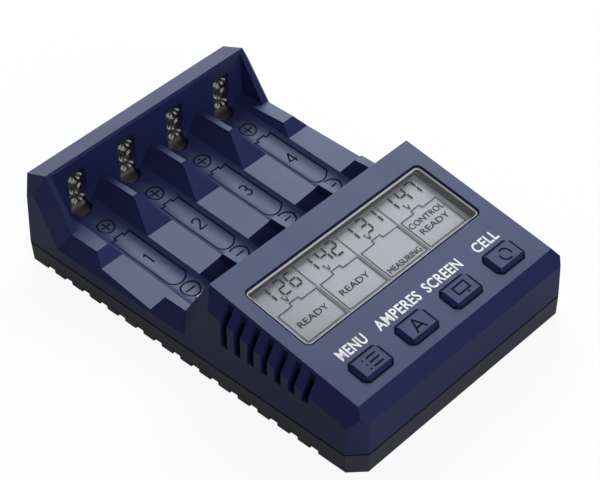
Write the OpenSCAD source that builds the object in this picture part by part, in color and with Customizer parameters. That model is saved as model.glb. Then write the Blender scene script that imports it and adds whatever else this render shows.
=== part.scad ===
// Battery charger with four bays for AA and AAA cells and a tilted display block.
// The bays run from the contact head at the rear down to the display block in front.
// Origin: the middle of the footprint, on the surface that the feet stand on.
// X runs from the first bay to the fourth, Y from the display block to the head, Z is up.
// Heights are measured from the underside of the housing, which the feet lift by foot_stand.

/* [Body] */
// Width over the side walls
body_w = 75; // [74.5:0.5:78]
// Depth from the front wall to the rear wall
body_d = 113; // [112.5:0.5:116]
// Height of the contact head's front edge
body_h = 27.6; // [27.2:0.2:29]
// Thickness of the housing walls
wall = 2; // [1.9:0.05:2.1]
// Thickness of the bottom shell's floor
floor_t = 2; // [1.8:0.1:2.2]
// Height of the parting line between the two shells
seam_z = 6.2; // [6:0.1:6.6]
// Height of the shadow groove along the parting line
groove = 0.4; // [0.2:0.1:0.6]
// Length that each cut corner takes off the plan
corner_cut = 3.8; // [3:0.1:4.2]
// Lean of the top shell's side walls in degrees
side_lean = 2.2; // [1.8:0.1:2.4]
// Lean of the bottom shell's walls in degrees
tray_lean = 2.5; // [1:0.5:3.5]
// Distance of the upper edges from the side walls
edge_inset = 3.75; // [3.4:0.05:4]

/* [Contact head] */
// Depth of the head from the rear wall to the bays
head_d = 9.2; // [9:0.1:10]
// Height that the head's top falls towards the rear
head_fall = 3; // [2.6:0.1:3.6]
// Distance that the rear wall leans forward over its height
rear_lean = 1.5; // [1:0.1:1.8]
// Width of the bevel along the head's front edge
head_lip = 0.5; // [0.3:0.1:0.6]
// Angle of the head cheeks' front edges in degrees
head_cheek_slope = 60; // [58:0.5:64]
// Height of the side bevel at the head's front edge
head_bevel_drop = 5.3; // [4.9:0.1:5.6]

/* [Bays] */
// Distance of the bays' field from the side walls
bay_margin = 4.3; // [4.2:0.05:4.4]
// Thickness of the dividers between two bays
divider_t = 1.6; // [1.5:0.05:1.8]
// Height above a trough's floor where its leaning walls turn upright
lean_rise = 6.2; // [5.9:0.1:6.5]
// Slope of the troughs in degrees, up towards the head
trough_tilt = 4.2; // [3.6:0.1:4.6]
// Height of the trough floor at the middle of a bay
trough_floor_h = 9.5; // [9.4:0.05:9.8]
// Thickness of the trough shells
trough_wall = 1.6; // [1.5:0.1:1.7]
// Height of the high ends of the dividers
divider_h = 17.5; // [17:0.1:18]
// Height of the outer ledges beside the outer bays
ledge_h = 13.85; // [13.6:0.05:14.2]
// Height of the low ridges above the trough floor
ridge_rise = 1.3; // [1:0.1:1.5]
// Distance from the head to the rear end of the finger scoop
scoop_rear = 19.8; // [19:0.1:21]
// Distance from the block to the front end of the finger scoop
scoop_front = 18; // [17.5:0.1:19]
// Slope at the rear end of the scoop in degrees
scoop_rear_slope = 36.5; // [34:0.5:40]
// Slope at the front end of the scoop in degrees
scoop_front_slope = 55; // [52:0.5:58]
// Distance of the ledges' outer edges from the side walls
ledge_inset = 3.25; // [3.1:0.05:3.4]
// Height of the chamfer beside the ledges
ledge_drop = 4.35; // [4:0.05:4.7]

/* [Display block] */
// Depth of the block from the front wall to the bays
block_d = 48.2; // [47.8:0.1:48.6]
// Height of the head's front edge above the block's rear edge
block_drop = 0.1; // [0:0.05:0.3]
// Height of the block's front edge
block_front_h = 19.35; // [19:0.05:20]
// Depth of the bevel along the front edge
front_bevel_d = 3; // [2.6:0.1:3.2]
// Height of the bevel along the front edge
front_bevel_h = 3.7; // [3.2:0.1:4]
// Angle of the block cheeks' rear edges in degrees
block_cheek_slope = 58; // [56:0.5:62]
// Height of the side bevels along the block
block_bevel_drop = 4.95; // [4.6:0.05:5.2]
// Distance that the side bevels start in front of the block's rear edge
block_bevel_back = 2.4; // [2:0.1:2.8]
// Distance that the ledge chamfer ends in front of the block cheek's foot
block_bevel_foot = 2.5; // [2.2:0.1:2.8]

/* [Display] */
// Distance of the display window from the side walls
window_margin = 7.65; // [7.5:0.05:8.5]
// Length of the window down the slope
window_l = 20.4; // [19.5:0.1:20.8]
// Distance from the block's rear edge to the window
window_at = 6.95; // [6.6:0.05:7.4]
// Corner radius of the window
window_r = 1.6; // [1:0.1:2.2]
// Depth of the clear lens below the face
lens_depth = 0.4; // [0.2:0.1:0.6]
// Gap around the lens in its window
lens_gap = 0.2; // [0.15:0.01:0.25]
// Width of the flange that holds the lens
lens_flange = 0.8; // [0.6:0.1:0.9]
// Thickness of the lens flange
lens_flange_t = 1; // [0.8:0.1:1.1]
// Depth of the liquid crystal panel below the face
lcd_depth = 2.9; // [2.8:0.1:3.2]
// Thickness of the liquid crystal panel
lcd_t = 2.1; // [1.8:0.1:2.3]
// Width of the frame seen through the window at each side
view_side = 0.95; // [0.8:0.05:1.1]
// Width of the frame seen through the window at its rear and front
view_end = 0.5; // [0.3:0.05:0.7]
// Width of the frame's lip over the panel
lcd_lip = 0.6; // [0.4:0.1:0.7]
// Thickness of the panel frame's walls
frame_t = 1.1; // [0.9:0.1:1.2]
// Width of the contact strip between panel and board
strip_w = 1.6; // [1.2:0.1:2]

/* [Buttons] */
// Distance of the buttons' row from the side walls
button_margin = 6.7; // [6.5:0.1:6.9]
// Distance from the block's rear edge to the buttons
button_at = 40; // [39.6:0.1:40.6]
// Width of a button hole
button_w = 9.8; // [9.4:0.1:10.2]
// Length of a button hole down the slope
button_l = 6.6; // [6.2:0.1:7]
// Length that each cut corner takes off a button hole
button_corner = 1.2; // [0.8:0.1:1.6]
// Height of a cap above the face
button_proud = 1.1; // [0.9:0.1:1.4]
// Width of a cap's flat top
button_top_w = 7.7; // [7.2:0.1:8]
// Length of a cap's flat top down the slope
button_top_l = 4.6; // [4.2:0.1:5]
// Running gap around a cap
button_gap = 0.2; // [0.15:0.01:0.25]
// Travel of a button
button_travel = 0.5; // [0.3:0.05:0.6]
// Side length of a tactile switch
switch_w = 6; // [5.8:0.1:6.4]
// Height of a tactile switch
switch_h = 3.5; // [3.3:0.1:3.6]
// Radius of a switch plunger
plunger_r = 1.75; // [1.5:0.05:1.9]

/* [Vents and notches] */
// Number of cooling slots on each side of the block
vent_count = 7; // [5:1:7]
// Distance between two cooling slots
vent_pitch = 4.2; // [4:0.05:4.4]
// Width of a cooling slot
vent_w = 2; // [1.6:0.1:2.2]
// Height of the lower end of the cooling slots
vent_low = 14.4; // [13.5:0.1:15]
// Height of the block's edge above the slots' upper ends
vent_drop = 0.6; // [0.4:0.1:1]
// Distance from the block's rear edge to the first slot's middle
vent_at = 7.15; // [6.8:0.05:7.6]
// Number of notches along each lower edge
notch_count = 15; // [10:1:15]
// Distance between two notches
notch_pitch = 6.36; // [6.2:0.01:6.4]
// Width of a notch
notch_w = 2.65; // [2.2:0.05:3]
// Depth of a notch into the side
notch_deep = 0.9; // [0.6:0.1:1.2]
// Height of a notch
notch_h = 1.5; // [1:0.1:1.7]
// Distance from the rear wall to the first notch's middle
notch_at = 10.4; // [9.5:0.1:11]

/* [Contacts] */
// Width of the contact slot in the head
slot_w = 5.7; // [5.6:0.1:6]
// Height of the head's front edge above the contact slot
slot_drop = 4.1; // [3.9:0.1:4.6]
// Thickness of the head's wall in front of a positive contact
seat_wall = 1.6; // [1.5:0.05:1.7]
// Thickness of the positive contacts' strip
plate_t = 0.5; // [0.4:0.05:0.6]
// Width of a positive contact behind the head's wall
plate_w = 7.2; // [6.8:0.1:7.4]
// Height of a positive contact's upper end above its slot
plate_over = 0.6; // [0.3:0.1:0.8]
// Width of a positive contact's foot
foot_w = 5; // [4.6:0.1:5.2]
// Distance that the foot reaches into the bay
foot_reach = 2.2; // [2:0.1:2.4]
// Radius of the bend between a positive contact's plate and its foot
foot_bend = 2; // [1.8:0.1:2.1]
// Depth of the foot's top below the trough floor
foot_sunk = 0.45; // [0.4:0.01:0.5]
// Gap around the foot in its recess
foot_gap = 0.5; // [0.3:0.05:0.6]
// Height of the pierced burrs on a positive contact
burr_h = 1.1; // [0.8:0.1:1.3]
// Radius of a burr
burr_r = 1; // [0.8:0.05:1.1]
// Width of a negative contact leaf
leaf_w = 5; // [4.6:0.1:5.2]
// Thickness of a negative contact leaf
leaf_t = 0.4; // [0.35:0.05:0.45]
// Reach of a relaxed leaf from its root towards the head
leaf_reach = 10.2; // [9.8:0.1:10.4]
// Rise of a relaxed leaf above its root
leaf_rise = 5; // [4.8:0.1:5.4]
// Radius of the rolled root of a leaf
root_r = 0.7; // [0.6:0.05:0.75]
// Distance of a leaf's root from the block
root_at = 2.3; // [2.2:0.1:2.5]

/* [Boards] */
// Thickness of the circuit boards
board_t = 1.6; // [1.4:0.1:1.8]
// Height of the main board's underside
board_z = 3.3; // [3.2:0.1:3.4]
// Depth of the display board's upper face below the block's face
display_board_depth = 7.7; // [7.6:0.1:7.9]

/* [Components] */
// Side length of a choke
choke_w = 10; // [9:0.5:10.5]
// Height of a choke
choke_h = 6; // [5:0.5:6.5]
// Distance from the bays to the middles of the chokes
choke_at = 9; // [8:0.5:9]
// Radius of a capacitor
can_r = 3.15; // [2.5:0.05:3.15]
// Height of a capacitor
can_h = 7; // [6:0.5:7.5]
// Distance from the bays to the middles of the capacitors
can_at = 19.5; // [18.5:0.5:20]
// Width of a transistor
package_w = 5.2; // [4.6:0.1:5.4]
// Length of a transistor
package_l = 6; // [5:0.5:6.5]
// Distance from the bays to the middles of the transistors
package_at = 27; // [26.5:0.5:28]
// Side length of the controller chip
chip_w = 10; // [7:0.5:10]
// Distance from the block's rear edge to the controller chip
chip_at = 14; // [10:0.5:16]
// Width of the pin header between the boards
header_w = 15; // [8:0.5:20]
// Distance from the bays to the middle of the pin header
header_at = 34; // [33:0.5:36]

/* [Power inlet] */
// Width of the inlet housing
inlet_w = 9; // [8.6:0.1:9.2]
// Height of the inlet housing
inlet_h = 8; // [7.8:0.1:8.1]
// Length of the inlet housing
inlet_l = 12.5; // [12:0.5:13]
// Radius of the inlet's plug hole
inlet_r = 3.15; // [3:0.05:3.2]
// Radius of the inlet's centre pin
inlet_pin_r = 1.05; // [0.8:0.05:1.25]

/* [Fasteners and feet] */
// Radius of the case screws' shanks
screw_r = 1.2; // [1:0.05:1.3]
// Radius of the case screws' heads
screw_head_r = 2.1; // [1.9:0.1:2.2]
// Length of the case screws below their heads
screw_l = 9; // [7:0.5:10]
// Radius of the board screws' shanks
board_screw_r = 0.9; // [0.8:0.05:1]
// Radius of the board screws' heads
board_screw_head_r = 1.6; // [1.4:0.1:1.7]
// Radius of the rubber feet
foot_r = 4; // [3.5:0.1:4.5]
// Height of the feet below the underside
foot_stand = 0.6; // [0.4:0.1:1]
// Depth of the pockets that hold the feet
foot_pocket = 1; // [0.8:0.1:1.2]

/* [Clearances] */
// Gap between seated pieces
fit = 0.15; // [0.1:0.01:0.18]
// Gap around screws, pins and legs
pin_gap = 0.1; // [0.08:0.01:0.12]
// Gap around the moving root of a leaf
root_gap = 0.25; // [0.2:0.01:0.3]

/* [Hidden] */
$fn = 48;
big = 200;
small = 0.01;
bay_count = 4;
button_count = 4;
bay_number = [1:bay_count];
switch_number = [1:button_count];

navy = [0.13, 0.15, 0.30];
charcoal = [0.15, 0.14, 0.17];
nickel = [0.80, 0.80, 0.78];
board_green = [0.10, 0.33, 0.20];
part_black = [0.10, 0.10, 0.11];

rear_y = body_d / 2;
front_y = -body_d / 2;
half_w = body_w / 2;
head_rear_h = body_h - head_fall;
block_rear_h = body_h - block_drop;
bay_l = body_d - head_d - block_d;
bay_pitch = (body_w - 2 * bay_margin) / bay_count;
trough_r = (bay_pitch - divider_t) / 2;
wall_foot_x = sqrt(trough_r * trough_r - pow(trough_r - ridge_rise, 2));
bay_rear_y = rear_y - head_d;
bay_front_y = bay_rear_y - bay_l;
bay_mid_y = (bay_rear_y + bay_front_y) / 2;
scoop_rear_y = bay_rear_y - scoop_rear;
scoop_front_y = bay_front_y + scoop_front;
outer_bay_x = (bay_count - 1) / 2 * bay_pitch;
field_x = outer_bay_x + trough_r;
head_lip_y = bay_rear_y + head_lip;
lip_drop = 1.4 * head_lip;
head_bevel_back = 1.6;
rear_edge_y = rear_y - rear_lean;
edge_x = half_w - edge_inset;
ledge_x = half_w - ledge_inset;
head_foot_y = head_lip_y - (body_h - ledge_h) / tan(head_cheek_slope);
block_foot_y = bay_front_y + (block_rear_h - ledge_h) / tan(block_cheek_slope);
front_edge_y = front_y + front_bevel_d;
block_tilt = atan((block_rear_h - block_front_h) / (bay_front_y - front_edge_y));
block_l = (bay_front_y - front_edge_y) / cos(block_tilt);
keel_low = seam_z - 2.6;
below = keel_low - 3 * wall;
core_point = [0, 0, seam_z];

lip_t = 1;
lip_rise = 1.4;
lip_grip = 2.4;
lip_in = wall + fit + lip_rise * (tan(side_lean) + tan(tray_lean));
lip_end = lip_in + lip_t;
tray_top = seam_z - groove;

lens_seat = wall - lens_flange_t;
frame_top = wall + fit;
window_w = body_w - 2 * window_margin;
view_w = window_w - 2 * view_side;
view_l = window_l - 2 * view_end;
view_at = window_at + view_end;
lcd_w = view_w + 2 * lcd_lip;
lcd_l = view_l + 2 * lcd_lip;
lcd_at = view_at - lcd_lip;

button_pitch = (body_w - 2 * button_margin) / button_count;
cap_w = button_w - 2 * button_gap;
cap_l = button_l - 2 * button_gap;
flange_top = wall + fit;
flange_t = 0.8;
flange_over = 0.7;
stem_l = 0.2;
plunger_top = flange_top + flange_t + stem_l;
switch_top = display_board_depth - switch_h;
plunger_sunk = 1.3;

post_r = 2.4;
post_meet_z = tray_top - 0.4;
rear_post = [half_w - 5.7, rear_y - 5.8];
front_post = [half_w - 6, front_y + 6.2];
counterbore_z = floor_t + 0.3;
head_sink = screw_head_r + 0.3;

board_x = half_w - 4;
board_front_y = front_y + 9.9;
board_rear_y = bay_rear_y - 0.6;
tongue_x = rear_post[0] - post_r - 0.6;
tongue_y = bay_rear_y + wall + 1.7;
board_top = board_z + board_t;
standoff_x = half_w - 7.5;
standoff_y = rear_y - 26.5;
standoff_r = 2.2;
screw_sunk = 1.2;
board_screw_head_t = 1;
board_screw_l = board_top - screw_sunk;

display_board_x = edge_x - 1.6;
display_board_at = 4.8;
display_board_split = 35.5;
display_board_end = 46;
narrow_x = front_post[0] - post_r - 0.5;
boss_r = 1.7;
outer_boss = [narrow_x + 1.2, 33.2];
inner_boss = [button_pitch, button_at];
boss_hole_l = 4;
boss_screw_l = 4.5;

slot_top = body_h - slot_drop;
plate_top = slot_top + plate_over;
plate_y = bay_rear_y + seat_wall;
foot_z = trough_z(bay_rear_y) - foot_sunk - plate_t;
foot_middle_y = bay_rear_y - foot_reach + foot_w / 2;
foot_rib = [0.9, 1.5, 0.86];
leg_w = 2.4;
leg_low = floor_t + 0.5;
burr_rows = 3;
burr_step = 3.4;
burr_x = 1.25;
burr_top = slot_top - 2.3;
burr_hole_r = burr_r / 2;

root_y = bay_front_y + root_at;
root_z = board_top + 1.4;
leaf_slot_w = leaf_w + 1.6;
leaf_slot_l = 8.9;
leaf_slot_gap = 0.4;
anchor_t = 1.2;

inlet_z = seam_z + 0.1;
inlet_y = rear_y - wall - fit;
inlet_nose = 1.2;
inlet_deep = 9.5;

// Height of the trough floor at a place along the bays
function trough_z(y) = trough_floor_h + (y - bay_mid_y) * tan(trough_tilt);

// Height of the low ridges at a place along the bays
function ridge_z(y) = trough_z(y) + ridge_rise;

// Distance of the top shell's side wall from the middle at a height
function wall_x(z) = half_w - (z - seam_z) * tan(side_lean);

// Middle of a bay or a button in its row, counted from 1
function bay_x(number) = (number - (bay_count + 1) / 2) * bay_pitch;
function button_x(number) = (number - (button_count + 1) / 2) * button_pitch;

function unit(v) = v / norm(v);
function inward(p, q) = let (d = unit(q - p)) [-d[1], d[0]];

// Outline moved inward by a distance, for points that run counterclockwise
function inset(points, distance) = let (n = len(points)) [
    for (i = [0:n - 1])
        let (
            before = inward(points[(i + n - 1) % n], points[i]),
            after = inward(points[i], points[(i + 1) % n])
        )
        points[i] + distance * (before + after) / (1 + before * after)
];

// Side outline of the housing where the dividers or ledges have a given height.
// The end walls of the bays are upright; the cheeks' edges lean back from the bays.
function run_outline(high, low, lip) = concat(
    [[rear_y, low], [rear_y, seam_z], [rear_edge_y, head_rear_h]],
    lip > 0 ? [[head_lip_y, body_h], [bay_rear_y, body_h - lip_drop]] : [[bay_rear_y, body_h]],
    [[bay_rear_y, high]],
    scoop_outline(high),
    [[bay_front_y, high], [bay_front_y, block_rear_h]],
    front_outline(low)
);

function cheek_outline(low) = concat(
    [[rear_y, low], [rear_y, seam_z], [rear_edge_y, head_rear_h]],
    [[head_lip_y, body_h], [head_foot_y, ledge_h]],
    scoop_outline(ledge_h),
    [[block_foot_y, ledge_h], [bay_front_y, block_rear_h]],
    front_outline(low)
);

function scoop_outline(high) = [
    [scoop_rear_y + (high - ridge_z(scoop_rear_y)) / tan(scoop_rear_slope), high],
    [scoop_rear_y, ridge_z(scoop_rear_y)],
    [scoop_front_y, ridge_z(scoop_front_y)],
    [scoop_front_y - (high - ridge_z(scoop_front_y)) / tan(scoop_front_slope), high]
];

function front_outline(low) = [
    [front_edge_y, block_front_h],
    [front_y, block_front_h - front_bevel_h],
    [front_y, low]
];

// Outline of a bent strip of even thickness along a line of points
function strip_outline(points, thickness) = let (n = len(points), h = thickness / 2) concat(
    [for (i = [0:n - 1]) points[i] + h * strip_side(points, i)],
    [for (i = [n - 1:-1:0]) points[i] - h * strip_side(points, i)]
);

function strip_side(points, i) = let (
    n = len(points),
    before = inward(points[max(i - 1, 0)], points[max(i, 1)]),
    after = inward(points[min(i, n - 2)], points[min(i + 1, n - 1)])
) (before + after) / (1 + before * after);

module raised() {
    translate([0, 0, foot_stand])
        children();
}

// Extrudes a side outline, drawn as Y and Z, from x0 to x1
module across(x0, x1) {
    translate([x0, 0, 0])
        rotate([90, 0, 90])
            linear_extrude(height = x1 - x0)
                children();
}

// Places children on the block's sloping face: X across, -Y down the slope, Z out of the face
module on_block() {
    translate([0, bay_front_y, block_rear_h])
        rotate([block_tilt, 0, 0])
            children();
}

// Box on the block's face that starts at a distance down the slope and at a depth below the face
module sunk_box(w, at, l, depth, t) {
    translate([-w / 2, -at - l, -depth - t])
        cube([w, l, t]);
}

module sunk_rounded(w, at, l, depth, t, r) {
    sunk_box(w - 2 * r, at, l, depth, t);
    sunk_box(w, at + r, l - 2 * r, depth, t);
    for (x = [-1, 1], y = [at + r, at + l - r])
        translate([x * (w / 2 - r), -y, -depth - t])
            cylinder(r = r, h = t);
}

module both_sides() {
    children();
    mirror([1, 0, 0])
        children();
}

// Everything beyond the plane through three points, seen from the middle of the body
module beyond(a, b, c, shrink) {
    raw = unit(cross(b - a, c - a));
    out = raw * (a - core_point) > 0 ? raw : -raw;
    translate(a - out * shrink)
        rotate([0, acos(out[2]), atan2(out[1], out[0])])
            translate([-big / 2, -big / 2, 0])
                cube(big);
}

// Everything beyond an upright wall that leans inward as it rises from the parting line
module beyond_wall(azimuth, distance, lean) {
    rotate([0, 0, azimuth])
        translate([distance, 0, seam_z])
            rotate([0, -lean, 0])
                translate([0, -big / 2, -big / 2])
                    cube(big);
}

// Flat facets along one side: head bevel, block bevel and the chamfer beside the ledge
module side_facets(shrink) {
    head_edge = [edge_x, head_lip_y, body_h];
    block_edge = [edge_x, bay_front_y, block_rear_h];
    head_corner = [wall_x(body_h - head_bevel_drop), head_lip_y + head_bevel_back, body_h - head_bevel_drop];
    block_low = block_rear_h - block_bevel_drop;
    ledge_low = ledge_h - ledge_drop;
    ledge_corner = [ledge_x, block_foot_y, ledge_h];
    beyond(head_edge, [edge_x, rear_edge_y, head_rear_h], head_corner, shrink);
    beyond(
        block_edge,
        [edge_x, front_edge_y, block_front_h],
        [wall_x(block_low), bay_front_y - block_bevel_back, block_low],
        shrink
    );
    intersection() {
        beyond([wall_x(ledge_low), 0, ledge_low], ledge_corner, [ledge_x, 0, ledge_h], shrink);
        beyond(head_edge, [ledge_x, head_foot_y, ledge_h], head_corner, shrink);
        beyond(
            block_edge,
            ledge_corner,
            [wall_x(ledge_low), block_foot_y - block_bevel_foot, ledge_low],
            shrink
        );
    }
}

// Outer form of the top shell, or with shrink the form of its hollow
module body_form(shrink, low) {
    corner_distance = (half_w + rear_y - corner_cut) / sqrt(2) - shrink;
    corner_lean = atan(rear_lean / (head_rear_h - seam_z) / sqrt(2));
    lip = shrink > 0 ? 0 : head_lip;
    difference() {
        union() {
            both_sides()
                across(outer_bay_x, half_w + 1)
                    polygon(inset(run_outline(ledge_h, low, lip), shrink));
            across(-outer_bay_x, outer_bay_x)
                polygon(inset(run_outline(divider_h, low, lip), shrink));
            if (shrink == 0)
                both_sides()
                    across(field_x, half_w + 1)
                        polygon(cheek_outline(low));
        }
        for (azimuth = [0, 180])
            beyond_wall(azimuth, half_w - shrink, side_lean);
        for (azimuth = [45, 135])
            beyond_wall(azimuth, corner_distance, corner_lean);
        for (azimuth = [-45, -135])
            beyond_wall(azimuth, corner_distance, 0);
        both_sides()
            side_facets(shrink);
    }
}

// Block of the bottom shell's plan with leaning walls
module tray_form(shrink, z0, z1) {
    corner_distance = (half_w + rear_y - corner_cut) / sqrt(2) - shrink;
    difference() {
        translate([-half_w - 1, front_y - 1, z0])
            cube([body_w + 2, body_d + 2, z1 - z0]);
        for (azimuth = [0, 180])
            beyond_wall(azimuth, half_w - shrink, -tray_lean);
        for (azimuth = [90, -90])
            beyond_wall(azimuth, rear_y - shrink, -tray_lean);
        for (azimuth = [-135:90:135])
            beyond_wall(azimuth, corner_distance, -tray_lean);
    }
}

// Trough for every bay over a stretch of Y: a round floor below the height of the ridges,
// then walls that lean outward and turn upright. It can be grown on all sides.
module troughs(grow, y0, y1) {
    walls = [
        [-wall_foot_x, ridge_rise], [wall_foot_x, ridge_rise], [trough_r, lean_rise],
        [trough_r, body_h], [-trough_r, body_h], [-trough_r, lean_rise]
    ];
    intersection() {
        for (number = bay_number)
            translate([bay_x(number), bay_mid_y, trough_floor_h])
                rotate([trough_tilt, 0, 0]) {
                    intersection() {
                        translate([0, 0, trough_r])
                            rotate([90, 0, 0])
                                cylinder(r = trough_r + grow, h = 2 * bay_l, center = true, $fn = 96);
                        translate([-big / 2, -big / 2, ridge_rise - big])
                            cube(big);
                    }
                    rotate([90, 0, 0])
                        translate([0, 0, -bay_l])
                            linear_extrude(height = 2 * bay_l)
                                polygon(inset(walls, -grow));
                }
        translate([-big / 2, y0, -big / 2])
            cube([big, y1 - y0, big]);
    }
}

module at_posts() {
    for (side = [-1, 1], post = [rear_post, front_post])
        translate([side * post[0], post[1], 0])
            children();
}

module at_bosses() {
    for (side = [-1, 1], boss = [outer_boss, inner_boss])
        translate([side * boss[0], -boss[1], 0])
            children();
}

module at_standoffs() {
    for (side = [-1, 1], end = [-1, 1])
        translate([side * standoff_x, end * standoff_y, 0])
            children();
}

module button_outline(w, l, corner) {
    polygon([
        [-w / 2 + corner, -l / 2], [w / 2 - corner, -l / 2],
        [w / 2, -l / 2 + corner], [w / 2, l / 2 - corner],
        [w / 2 - corner, l / 2], [-w / 2 + corner, l / 2],
        [-w / 2, l / 2 - corner], [-w / 2, -l / 2 + corner]
    ]);
}

module at_button(number) {
    on_block()
        translate([button_x(number), -button_at, 0])
            children();
}

// What stands inside the top shell: trough shells, screw posts and display bosses
module shell_ribs() {
    troughs(trough_wall, bay_front_y - wall, bay_rear_y + wall);
    at_posts()
        translate([0, 0, post_meet_z])
            cylinder(r = post_r, h = body_h);
    on_block()
        at_bosses()
            translate([0, 0, -display_board_depth])
                cylinder(r = boss_r, h = display_board_depth);
}

module vents() {
    for (i = [0:vent_count - 1]) {
        y = bay_front_y - vent_at - i * vent_pitch;
        top = block_rear_h - (bay_front_y - y) * tan(block_tilt) - vent_drop;
        both_sides()
            translate([edge_x + 0.1, y - vent_w / 2, vent_low])
                cube([edge_inset + 1, vent_w, top - vent_low]);
    }
}

// Slot for the positive contact, the seat of its plate and the recess of its foot
module contact_slots() {
    for (number = bay_number)
        translate([bay_x(number), 0, 0]) {
            translate([-slot_w / 2, bay_rear_y - small, foot_z - fit])
                cube([slot_w, wall + 2 * small, slot_top - foot_z + fit]);
            translate([-plate_w / 2 - fit, plate_y, below])
                cube([plate_w + 2 * fit, wall - seat_wall + small, plate_top + fit - below]);
            translate([0, foot_middle_y, foot_z - fit])
                cylinder(r = foot_w / 2 + foot_gap, h = foot_bend);
        }
}

module leaf_slots() {
    for (number = bay_number)
        translate([bay_x(number) - leaf_slot_w / 2, bay_front_y + leaf_slot_gap, keel_low - 1])
            cube([leaf_slot_w, leaf_slot_l, trough_z(bay_front_y + leaf_slot_l) - keel_low + 1.5]);
}

// Small rib on the trough floor beside the recess
module foot_ribs() {
    for (number = bay_number)
        translate([bay_x(number) + foot_w / 2, foot_middle_y - foot_w / 2 - fit, foot_z])
            cube([foot_rib[0], foot_rib[1], trough_z(bay_rear_y) + foot_rib[2] - foot_z]);
}

module inlet_space(grow) {
    translate([-inlet_w / 2 - grow, inlet_y - inlet_l - grow, inlet_z - inlet_h / 2 - grow])
        cube([inlet_w + 2 * grow, inlet_l + grow, inlet_h + 2 * grow]);
}

module inlet_hole() {
    translate([0, inlet_y - small, inlet_z])
        rotate([-90, 0, 0])
            cylinder(r = inlet_r + 1 + fit, h = wall + 1);
}

module top_shell() {
    color(navy)
        raised()
            difference() {
                union() {
                    difference() {
                        body_form(0, keel_low);
                        difference() {
                            union() {
                                body_form(wall, below);
                                translate([-big / 2, -big / 2, below])
                                    cube([big, big, seam_z - below]);
                            }
                            shell_ribs();
                        }
                        troughs(0, bay_front_y, bay_rear_y);
                    }
                    foot_ribs();
                }
                on_block() {
                    sunk_rounded(window_w, window_at, window_l, -1, wall + 2, window_r);
                    sunk_box(
                        window_w + 2 * lens_flange + 2 * fit,
                        window_at - lens_flange - fit,
                        window_l + 2 * lens_flange + 2 * fit,
                        lens_seat - small,
                        lens_flange_t + 0.5
                    );
                    at_bosses()
                        translate([0, 0, -display_board_depth - small])
                            cylinder(r = board_screw_r + pin_gap, h = boss_hole_l + small);
                }
                for (number = switch_number)
                    at_button(number)
                        translate([0, 0, -wall - 1])
                            linear_extrude(height = wall + 2)
                                button_outline(button_w, button_l, button_corner);
                vents();
                contact_slots();
                leaf_slots();
                at_posts()
                    translate([0, 0, post_meet_z - 1])
                        cylinder(r = screw_r + pin_gap, h = screw_l);
                inlet_space(fit);
                inlet_hole();
            }
}

module notches() {
    for (i = [0:notch_count - 1]) {
        y = rear_y - notch_at - i * notch_pitch;
        both_sides()
            translate([half_w - notch_deep, y - notch_w / 2, -1])
                cube([notch_deep + 1, notch_w, notch_h + 1]);
    }
}

module bottom_shell() {
    color(charcoal)
        raised()
            difference() {
                union() {
                    difference() {
                        tray_form(0, 0, tray_top);
                        tray_form(wall, floor_t, seam_z + 1);
                    }
                    difference() {
                        union() {
                            tray_form(wall - 0.1, tray_top - lip_grip, tray_top);
                            tray_form(lip_in, tray_top - lip_grip, seam_z + lip_rise);
                        }
                        tray_form(lip_end, floor_t, seam_z + lip_rise + 1);
                    }
                    at_posts()
                        translate([0, 0, small])
                            cylinder(r = post_r + 0.5, h = post_meet_z - small);
                    at_standoffs()
                        translate([0, 0, small])
                            cylinder(r = standoff_r, h = board_z - small);
                }
                at_posts() {
                    translate([0, 0, -1])
                        cylinder(r = head_sink, h = counterbore_z + 1);
                    cylinder(r = screw_r + pin_gap, h = seam_z + 1);
                }
                at_standoffs()
                    translate([0, 0, screw_sunk - fit])
                        cylinder(r = board_screw_r + pin_gap, h = board_z);
                notches();
                for (side = [-1, 1], end = [-1, 1])
                    translate([side * (half_w - 9), end * (rear_y - 13), -1])
                        cylinder(r = foot_r + fit, h = foot_pocket + 1);
                inlet_space(fit);
                inlet_hole();
            }
}

module display_lens() {
    color([0.75, 0.82, 0.82, 0.5])
        raised()
            on_block() {
                sunk_rounded(
                    window_w - 2 * lens_gap, window_at + lens_gap, window_l - 2 * lens_gap,
                    lens_depth, lens_seat - lens_depth + small, window_r
                );
                sunk_box(
                    window_w + 2 * lens_flange, window_at - lens_flange,
                    window_l + 2 * lens_flange, lens_seat, lens_flange_t
                );
            }
}

module lcd_frame() {
    color(part_black)
        raised()
            on_block()
                difference() {
                    sunk_box(
                        lcd_w + 2 * frame_t, lcd_at - frame_t, lcd_l + 2 * frame_t,
                        frame_top, display_board_depth - frame_top
                    );
                    sunk_box(view_w, view_at, view_l, 0, lcd_depth + 1);
                    sunk_box(
                        lcd_w + 2 * fit, lcd_at - fit, lcd_l + 2 * fit,
                        lcd_depth, display_board_depth
                    );
                }
}

module lcd_panel() {
    color([0.62, 0.66, 0.66])
        raised()
            on_block()
                sunk_box(lcd_w, lcd_at, lcd_l, lcd_depth, lcd_t);
}

module contact_strip() {
    color([0.85, 0.45, 0.35])
        raised()
            on_block()
                sunk_box(
                    lcd_w - 3, lcd_at + lcd_l - strip_w - 0.3, strip_w,
                    lcd_depth + lcd_t, display_board_depth - lcd_depth - lcd_t
                );
}

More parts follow.
